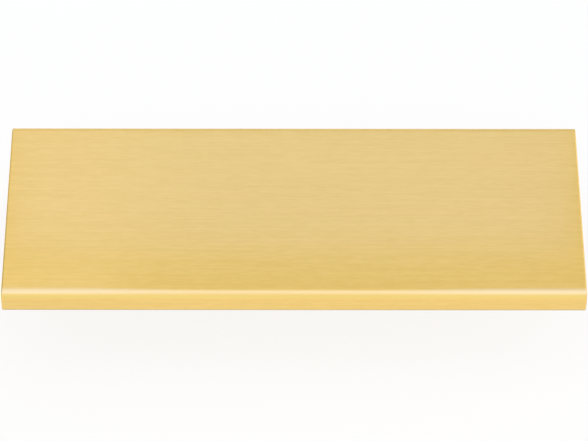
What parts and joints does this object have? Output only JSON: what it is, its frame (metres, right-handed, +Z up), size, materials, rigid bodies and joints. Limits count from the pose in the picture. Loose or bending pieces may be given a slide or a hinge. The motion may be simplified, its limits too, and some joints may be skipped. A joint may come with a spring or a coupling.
{
  "type": "cabinet edge pull",
  "caption": "Flat brushed brass edge pull: a plate over a door's edge, with a turned-down finger lip in front and a countersunk screw flange behind.",
  "frame": {"origin": "midway between the two screw holes, on the flange face that lies against the door", "axes": "+X along the pull, +Y from the room towards the rear flange, +Z up"},
  "size_m": [0.1, 0.04, 0.02],
  "materials": {
    "brushed_brass": "brushed along its length under clear lacquer"
  },
  "bodies": {
    "root": {"edge_pull": "brushed_brass"}
  },
  "joints": []
}
